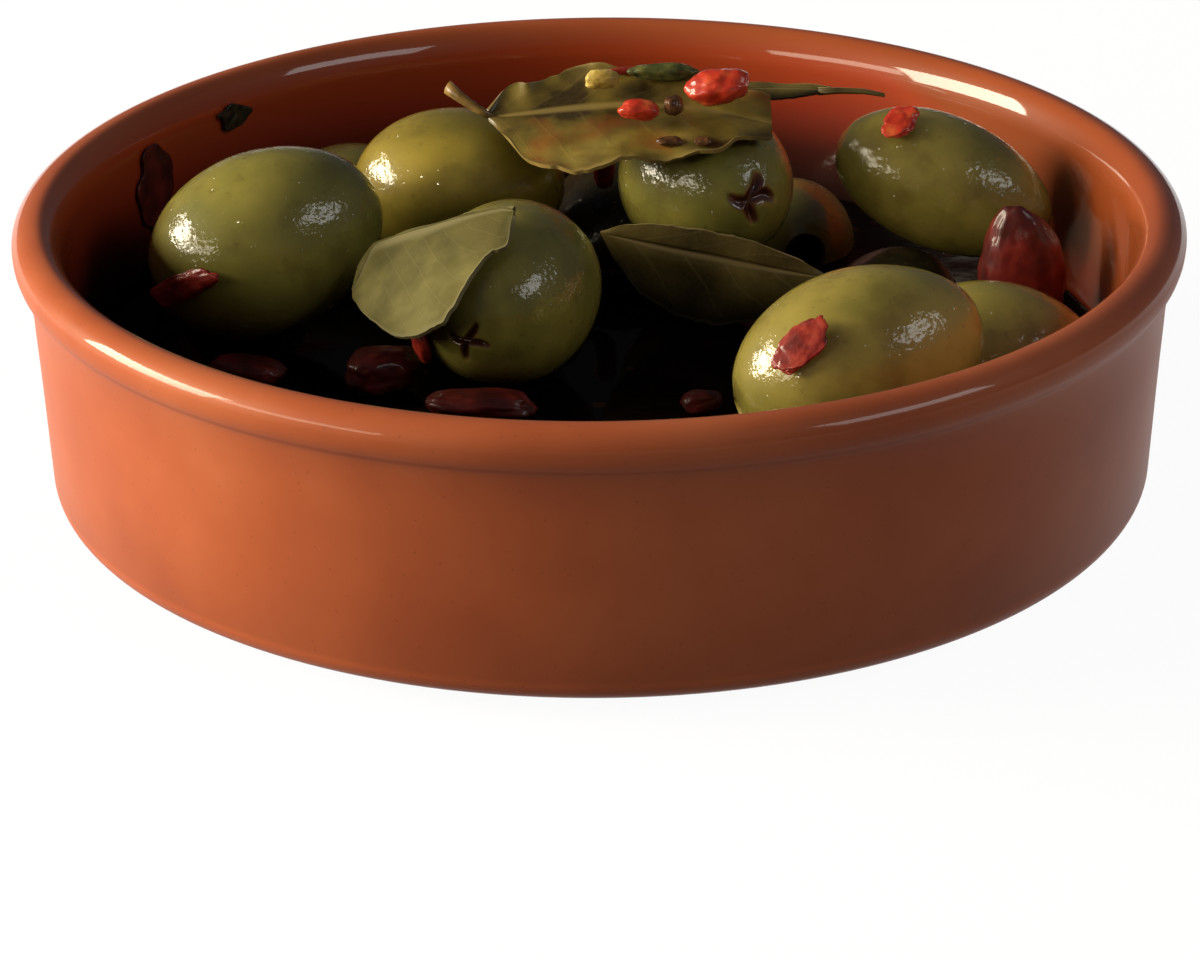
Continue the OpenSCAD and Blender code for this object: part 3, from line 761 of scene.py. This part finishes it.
def facing(n):
    n = Vector(n).normalized()
    tilt, turn = math.acos(n.z), math.atan2(n.y, n.x)
    return np.array(Matrix.Rotation(turn, 3, "Z") @ Matrix.Rotation(tilt, 3, "Y")
                    @ Matrix.Rotation(-turn, 3, "Z"))


# %% [markdown]
# The top leaf lies on the back olive, tilted to the viewer. It is whole at its stalk and torn off
# at its tip, with a wavy margin. All its points are in millimetres from where it rests.

# %% Top leaf
TOP_PLACE, TOP_SLOPE, TOP_BOW = (13.9, 17.05, 37.95), 17, 110
top_turn = np.array(Matrix.Rotation(math.radians(TOP_SLOPE), 3, "X"))
leaf_top = blade(
    [(-27, 4.6), (-18, 4), (-11, 3.6), (0, 1.4), (6.6, -1.2)],
    [(-27, 4.6), (-26, 6.8), (-24, 8.2), (-22.3, 7.4), (-20, 9.2), (-16.5, 10.4), (-13, 9.6), (-8, 8.4),
     (-2, 6.2), (3, 4.2), (6, 3), (6.6, 2.4)],
    [(-27, 4.6), (-25.2, 0.6), (-23, -4.2), (-20.5, -7.8), (-18.5, -8.4), (-16.5, -9.8), (-13, -10),
     (-11, -8.8), (-8, -8.2), (-3.5, -7.4), (0.6, -7.2), (1.6, -5.2), (4, -4.4), (6.6, -3.4)],
    bow=TOP_BOW, ripple=1.7, curl=(1.2, 0.2), thick=0.45, place=TOP_PLACE, turn=top_turn, seed=3)
hand_over(leaf_top, "leaf_top_blade", "leaf_top", "olive_brown_bay_leaf", brown_leaf, "leaf_top",
          creased=True)

# %% [markdown]
# The stalk of the top leaf is bent up and thicker where it was picked. A disc is extruded from
# point to point and resized at each, and at the end the whole is laid against the leaf.

# %% Stalk of the top leaf
STALK = [(-26.4, 4.6, -3.5), (-28.5, 5.8, -3.0), (-30.4, 7.1, -2.3), (-31.9, 8.2, -1.6)]
STALK_R = [0.45, 0.55, 0.65, 0.85]


def stalk(route, radii, turn, place):
    bpy.ops.mesh.primitive_circle_add(vertices=14, radius=1, fill_type="NGON")
    piece = bpy.context.object
    base = Vector(route[0])
    lay = np.array((Vector(route[1]) - base).to_track_quat("Z", "Y").to_matrix())
    reshape(piece, lambda p: (p * radii[0]) @ lay.T * MM)
    bpy.ops.object.mode_set(mode="EDIT")
    bpy.ops.mesh.select_all(action="SELECT")
    for start, end, thin, wide in zip(route, route[1:], radii, radii[1:]):
        bpy.ops.mesh.extrude_region_move(
            TRANSFORM_OT_translate={"value": (Vector(end) - Vector(start)) * MM})
        bpy.ops.transform.resize(value=[wide / thin] * 3, center_override=(Vector(end) - base) * MM)
    bpy.ops.mesh.select_all(action="SELECT")
    bpy.ops.mesh.normals_make_consistent(inside=False)
    bpy.ops.object.mode_set(mode="OBJECT")
    return reshape(piece, lambda p: (p + np.array(base) * MM) @ np.array(turn).T + np.array(place) * MM)


top_stalk = stalk(STALK, STALK_R, top_turn, TOP_PLACE)
hand_over(top_stalk, "leaf_top_stalk", "leaf_top", "olive_brown_bay_leaf", stalk_wood)

# %% [markdown]
# The torn leaf hangs over the front olive and shows its dull grey underside. `facing` turns the
# blade to the direction in which that side of the olive looks.

# %% Torn leaf on the front olive
TORN_N, TORN_PLACE = (-0.5, -0.4, 0.77), (-16.6, -10.6, 31.85)
leaf_torn = blade(
    [(-14.5, 4), (-10.5, 8.4), (-2.5, 5.6), (7, 3.1), (8, 2)],
    [(-14.5, 4), (-13.5, 7), (-10.5, 9), (-6.5, 7.5), (-2.5, 6), (2.5, 4.5), (7, 3.5), (8, 2)],
    [(-14.5, 4), (-14, 1), (-11, -4.5), (-9, -7.5), (-6, -9.5), (-2, -10), (0, -8), (1.5, -5.5),
     (4, -3), (7, -3), (8, 2)],
    bow=50, ripple=0.5, curl=(0, 0.2), thick=0.5, place=TORN_PLACE, turn=facing(TORN_N), seed=5)
hand_over(leaf_torn, "leaf_torn_blade", "leaf_torn", "grey_green_bay_leaf", grey_leaf, "leaf_torn",
          creased=True)

# %% [markdown]
# A third leaf stands on its edge in the marinade. It is whole, and its finish paints its lower half
# nearly black as painted shade.

# %% Dark leaf that stands in the marinade
MID_PLACE, MID_SLANT = (13.8, 9.6, 22.4), -12.5
on_edge = Matrix.Rotation(math.radians(90), 3, "X")
mid_turn = np.array(on_edge @ Matrix.Rotation(math.radians(MID_SLANT), 3, "Z"))
leaf_middle = blade(
    [(-14, 0), (0, 0.4), (14, 0)],
    [(-14, 0), (-12, 1.6), (-8, 2.8), (-2, 3.5), (4, 3.2), (10, 1.8), (14, 0)],
    [(-14, 0), (-12, -2.8), (-8, -6.2), (-3, -8.2), (2, -8.3), (7, -6.6), (11, -3.4), (14, 0)],
    bow=60, ripple=0.5, curl=(-0.3, -0.6), thick=0.5, place=MID_PLACE, turn=mid_turn, seed=8)
hand_over(leaf_middle, "leaf_middle_blade", "dish", "dark_bay_leaf", dark_leaf, "leaf_middle", creased=True)

# %% [markdown]
# A narrow sliver of leaf lies on the back olive, with a long thin stalk that points to the right.
# Its place is taken from the box of its node, so it starts where the frame has it.

# %% Sliver of leaf on the back olive
SLIVER_STALK = [(12.5, 0, -0.5), (15, 0.2, -0.5), (18, 0.4, -0.7), (20.5, 0.4, -1.2)]
SLIVER_STALK_R = [0.5, 0.4, 0.35, 0.25]
LEVEL_LAID = np.eye(3)
sliver_low, sliver_high = [np.array(c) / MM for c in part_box("leaf_sliver")]
sliver_place = (sliver_low[0], (sliver_low[1] + sliver_high[1]) / 2, sliver_high[2])
leaf_sliver = blade(
    [(0, 0), (7, 0.2), (14, 0)], [(0, 0), (3, 1.3), (7, 1.7), (11, 1.2), (14, 0)],
    [(0, 0), (3, -1.3), (7, -1.7), (11, -1.2), (14, 0)],
    bow=400, ripple=0.5, curl=(0.2, -0.5), thick=0.4, place=sliver_place, turn=LEVEL_LAID, seed=11)
# the sliver's finish paints shade on its lower half too
hand_over(leaf_sliver, "leaf_sliver_blade", "olive_back", "dark_bay_leaf", dark_leaf, "leaf_sliver")
sliver_stalk = stalk(SLIVER_STALK, SLIVER_STALK_R, LEVEL_LAID, sliver_place)
hand_over(sliver_stalk, "leaf_sliver_stalk", "olive_back", "dark_bay_leaf", dark_leaf)

# %% [markdown]
# ## Pieces of pepper, garlic, spice and herb
#
# A cut piece of pepper is a soft lump with dents and folds. It starts as a ball of triangles,
# is squared a little, dented with coarse and fine noise, tapered and leaned where it stands
# upright, stretched to the size of its place in the frame and turned to lie on what carries it.

# %% Lump maker
COARSE_DENTS, FINE_DENTS = 0.8, 0.3
UP = (0, 0, 1)


def middle(node):
    low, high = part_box(node)
    return np.array((low + high) / 2)


def spun(n, degrees):
    return facing(n) @ np.array(Matrix.Rotation(math.radians(degrees), 3, "Z"))


def lump(node, body, slot, finish, half, turn, seed, square=0.8, dent=0.16, taper=0.0, lean=0.0, at=None):
    bpy.ops.mesh.primitive_ico_sphere_add(subdivisions=5, radius=1)
    piece = bpy.context.object
    spot = middle(node) if at is None else at

    def knead(p):
        p = np.sign(p) * np.abs(p) ** square
        p = dented(p * MM, dent, COARSE_DENTS, seed) / MM
        p = dented(p * MM, dent / 3, FINE_DENTS, seed + 2) / MM
        rise = np.clip((p[:, 2] + 1) / 2, 0, 1)[:, None] ** 1.5
        p = p * np.hstack([1 - taper * rise, 1 - taper * rise, np.ones_like(rise)])
        p[:, 0] += lean * rise[:, 0]
        return (p * np.array(half)) @ np.array(turn).T * MM + spot

    reshape(piece, knead)
    return hand_over(piece, node + "_flesh", body, slot, finish, *([node] if at is None else []))


# %% [markdown]
# The biggest piece is a dark lobe that stands at the right. Strips, flakes and bits cling to the
# olives, so each faces the way that its olive's skin does there, and each rides on its olive.

# %% Pepper that stands or clings
lump("pepper_lobe", "pepper_lobe", "dark_red_pepper", dark_flesh, (5.6, 3.4, 7.9), spun(UP, 0), 4,
     square=0.78, dent=0.14, taper=0.34, lean=-0.16)
lump("pepper_upright", "dish", "dark_red_pepper", skin_flesh, (1.3, 0.6, 3.2), spun(UP, 0), 9)
lump("pepper_strip_left", "olive_left", "red_pepper", skin_flesh, (4.6, 1.6, 0.6),
     spun((-0.46, -0.89, 0), 0), 6, square=0.85, dent=0.25)
lump("pepper_flake_right", "olive_right_front", "red_pepper", skin_flesh, (3.3, 2.0, 0.36),
     spun((-0.36, -0.72, 0.59), 30), 7, dent=0.3)
lump("pepper_bit_right", "olive_right_back", "dark_red_pepper", red_flesh, (2.3, 1.9, 0.6),
     spun((-0.16, -0.45, 0.88), 60), 8, dent=0.32)
lump("pepper_bit_front", "olive_front", "red_pepper", skin_flesh, (2.4, 1.6, 0.8),
     spun((-0.85, -0.42, -0.3), 10), 12)

# %% [markdown]
# Diced pepper lies half sunk in the marinade at the front. Each dice has its half sizes in
# millimetres, its heading and the seed of its dents.

# %% Diced pepper
DICE = [("front_left", (4.5, 3, 2.6), 25, 14), ("front", (6.2, 2.5, 1.6), -4, 15),
        ("left", (4.5, 2.2, 1.6), -18, 16), ("right", (2.3, 1.5, 1.3), 10, 17)]
for side, half, heading, seed in DICE:
    lump("pepper_dice_" + side, "dish", "dark_red_pepper", sunk_flesh, half, spun(UP, heading), seed)

# %% [markdown]
# On the top leaf lie bits of pepper, a spice seed, a bit of garlic and a strip of herb, which
# have their places in the frame. A strip of skin and two crumbs are too small for it: they are
# placed on the leaf itself, by how far along, across and above it they lie.

# %% Toppings on the top leaf
RED_TILT = -13
tilted = top_turn @ np.array(Matrix.Rotation(math.radians(RED_TILT), 3, "Y"))


def on_top_leaf(x, y, z):
    return (top_turn @ np.array((x, y, z - x * x / 2 / TOP_BOW)) + np.array(TOP_PLACE)) * MM


lump("topping_red", "leaf_top", "red_pepper", red_flesh, (3.7, 2.1, 2.0), tilted, 21, 0.92, 0.17)
lump("topping_small_red", "leaf_top", "red_pepper", red_flesh, (2.5, 1.3, 1.2), top_turn, 22, 0.92, 0.17)
lump("topping_caper", "leaf_top", "brown_spice", spice_flesh, (1.15, 1.15, 1.1), top_turn, 23)
lump("topping_garlic", "leaf_top", "garlic", garlic_flesh, (2.05, 1.15, 1.15), top_turn, 24)
lump("topping_green", "leaf_top", "green_herb", herb_flesh, (4, 0.95, 0.95), top_turn, 25)
lump("topping_skin", "leaf_top", "dark_red_pepper", skin_flesh, (4.8, 0.35, 0.6), top_turn, 26,
     dent=0.1, at=on_top_leaf(-7.8, 8, 1))
lump("topping_crumb", "leaf_top", "brown_spice", spice_flesh, (1.5, 0.7, 0.45), top_turn, 27,
     at=on_top_leaf(-5.6, -5.6, 0.6))
lump("topping_crumb_small", "leaf_top", "brown_spice", spice_flesh, (1, 0.6, 0.45), top_turn, 28,
     at=on_top_leaf(-1.6, -5.8, 0.6))

# %% [markdown]
# ## Skins stuck to the wall
#
# A bit of pepper skin and a fleck of herb cling to the inside of the dish, so they take the
# curve of its wall: a grid is pressed onto the cone of the wall with a ragged edge, and thickened.

# %% Patches on the wall
WALL_FROM_Z, WALL_SPREAD = 13, 1.2 / 18.85
OFF_WALL, PUCKER = 0.2, 0.15
RAGGED_W, RAGGED_H = 0.5, 0.3


def wall_patch(node, slot, finish, angle, wide, bottom, top, thick, seed):
    bpy.ops.mesh.primitive_grid_add(x_subdivisions=24, y_subdivisions=24, size=2)
    patch = bpy.context.object

    def press(p):
        x, y = to_disc(p)
        wave = np.array([noise.noise(Vector((1.5 * a + seed, 1.5 * b, seed))) for a, b in zip(x, y)])
        turn = np.radians(angle + wide / 2 * x * (1 + RAGGED_W * wave))
        z = (bottom + top) / 2 + (top - bottom) / 2 * y * (1 + RAGGED_H * wave)
        r = BOWL_R + WALL_SPREAD * (z - WALL_FROM_Z) - OFF_WALL - PUCKER * np.abs(wave)
        return np.c_[r * np.cos(turn), r * np.sin(turn), z] * MM

    take(reshape(patch, press))
    apply_modifier(patch, "SOLIDIFY", thickness=thick * MM)
    bpy.ops.object.mode_set(mode="EDIT")
    bpy.ops.mesh.select_all(action="SELECT")
    bpy.ops.mesh.normals_make_consistent(inside=False)
    bpy.ops.object.mode_set(mode="OBJECT")
    return hand_over(patch, node + "_patch", "dish", slot, finish, node)


wall_patch("pepper_wall_skin", "dark_red_pepper", sunk_flesh, 152.5, 7, 19.5, 31, 0.2, 2)
wall_patch("herb_wall_fleck", "green_herb", wilted_flesh, 138, 4.5, 28.3, 31.3, 0.3, 6)

# %% [markdown]
# ## Studio
#
# A sheet of pale paper under the dish. To the camera and in reflections it glows white, and it
# still takes the shadow of the dish. To the light that it throws back onto the dish it is only a
# grey sheet, so it does not brighten the shaded side.

# %% Floor
FLOOR_WHITE, FLOOR_GAP = 0.95, 0.1 * MM
bpy.ops.mesh.primitive_plane_add(size=8, location=(0, 0, -FLOOR_GAP))
floor = bpy.context.object
floor.name = "studio_floor"
paper = bpy.data.materials.new("white_paper_sweep")
paper.use_nodes = True
tree = paper.node_tree
tree.nodes.clear()
ray = put(tree, "ShaderNodeLightPath")
seen = put(tree, "ShaderNodeMath", {0: ray.outputs["Is Camera Ray"], 1: ray.outputs["Is Glossy Ray"]},
           operation="MAXIMUM")
seen = put(tree, "ShaderNodeMath", {0: seen.outputs[0], 1: ray.outputs["Is Transmission Ray"]},
           operation="MAXIMUM")
lift = put(tree, "ShaderNodeMath", {0: seen.outputs[0], 1: FLOOR_WHITE}, operation="MULTIPLY")
sheet = put(tree, "ShaderNodeBsdfDiffuse", {"Color": chip("#504f4e")})
glow = put(tree, "ShaderNodeEmission", {"Strength": lift.outputs[0]})
both = put(tree, "ShaderNodeAddShader", {0: sheet.outputs[0], 1: glow.outputs[0]})
put(tree, "ShaderNodeOutputMaterial", {"Surface": both.outputs[0]})
floor.data.materials.append(paper)
print("floor finish:", paper.name)

# %% [markdown]
# The room itself is dim and a little blue: it only keeps the shadows from going black.

# %% Background light
world = bpy.data.worlds.new("studio")
bpy.context.scene.world = world
world.use_nodes = True
tree = world.node_tree
tree.nodes.clear()
sky = put(tree, "ShaderNodeBackground", {"Color": chip("#e0e8ff"), "Strength": 0.08})
put(tree, "ShaderNodeOutputWorld", {"Surface": sky.outputs[0]})
print("world:", world.name)

# %% [markdown]
# Three soft boxes. The big one on the left is the key light: it models the wall from orange to
# brown and makes the bright marks on the olives, and those marks are warm, so the lamp is. A narrow
# strip beside it, nearer the viewer, carries its long reflection on round the rim. A small one on
# the right adds the second, dimmer marks.

# %% Soft boxes
AIM = Vector((0, 0, 0.02))


def soft_box(name, place, wide, tall, watts, tint):
    lamp = bpy.data.lights.new(name, "AREA")
    lamp.shape = "RECTANGLE"
    lamp.size, lamp.size_y, lamp.energy = wide, tall, watts
    lamp.color = chip(tint)[:3]
    box = bpy.data.objects.new(name, lamp)
    bpy.context.scene.collection.objects.link(box)
    box.location = place
    box.rotation_euler = (AIM - Vector(place)).to_track_quat("-Z", "Y").to_euler()
    print(name, "watts:", watts)


soft_box("key_soft_box", (-0.93, 0.03, 0.31), 0.58, 0.37, 18.6, "#fff3d9")
soft_box("front_strip_box", (-0.75, -0.49, 0.31), 0.54, 0.16, 2.4, "#fff3d9")
soft_box("fill_soft_box", (0.42, -0.22, 0.36), 0.32, 0.14, 0.55, "#ffffff")

# %% [markdown]
# ## Camera
#
# The camera stands half a metre away and looks down at about 25 degrees. The lens comes from the
# picture: 4277 pixels of focal length across 1200 pixels of a 36 mm wide sensor.

# %% Camera
FOCAL_PX, PHOTO_W, SENSOR = 4277.4, 1200, 36
CAMERA_PLACE, NEAR_CLIP = (0, -0.4607, 0.2094), 0.01
RIGHT, UPWARD, BACK = (0.99996, -0.00331, -0.00784), (0.0085, 0.4165, 0.9091), (0.0003, -0.9091, 0.4165)
camera = bpy.data.objects.new("camera", bpy.data.cameras.new("camera"))
bpy.context.scene.collection.objects.link(camera)
camera.data.sensor_fit = "HORIZONTAL"
camera.data.sensor_width = SENSOR
camera.data.lens = FOCAL_PX / PHOTO_W * SENSOR
camera.data.clip_start = NEAR_CLIP
aimed = Matrix((RIGHT, UPWARD, BACK)).transposed().to_4x4()
camera.matrix_world = Matrix.Translation(CAMERA_PLACE) @ aimed
bpy.context.scene.camera = camera
bpy.context.scene.view_settings.view_transform = "Standard"
print("lens:", round(camera.data.lens, 1), "mm")
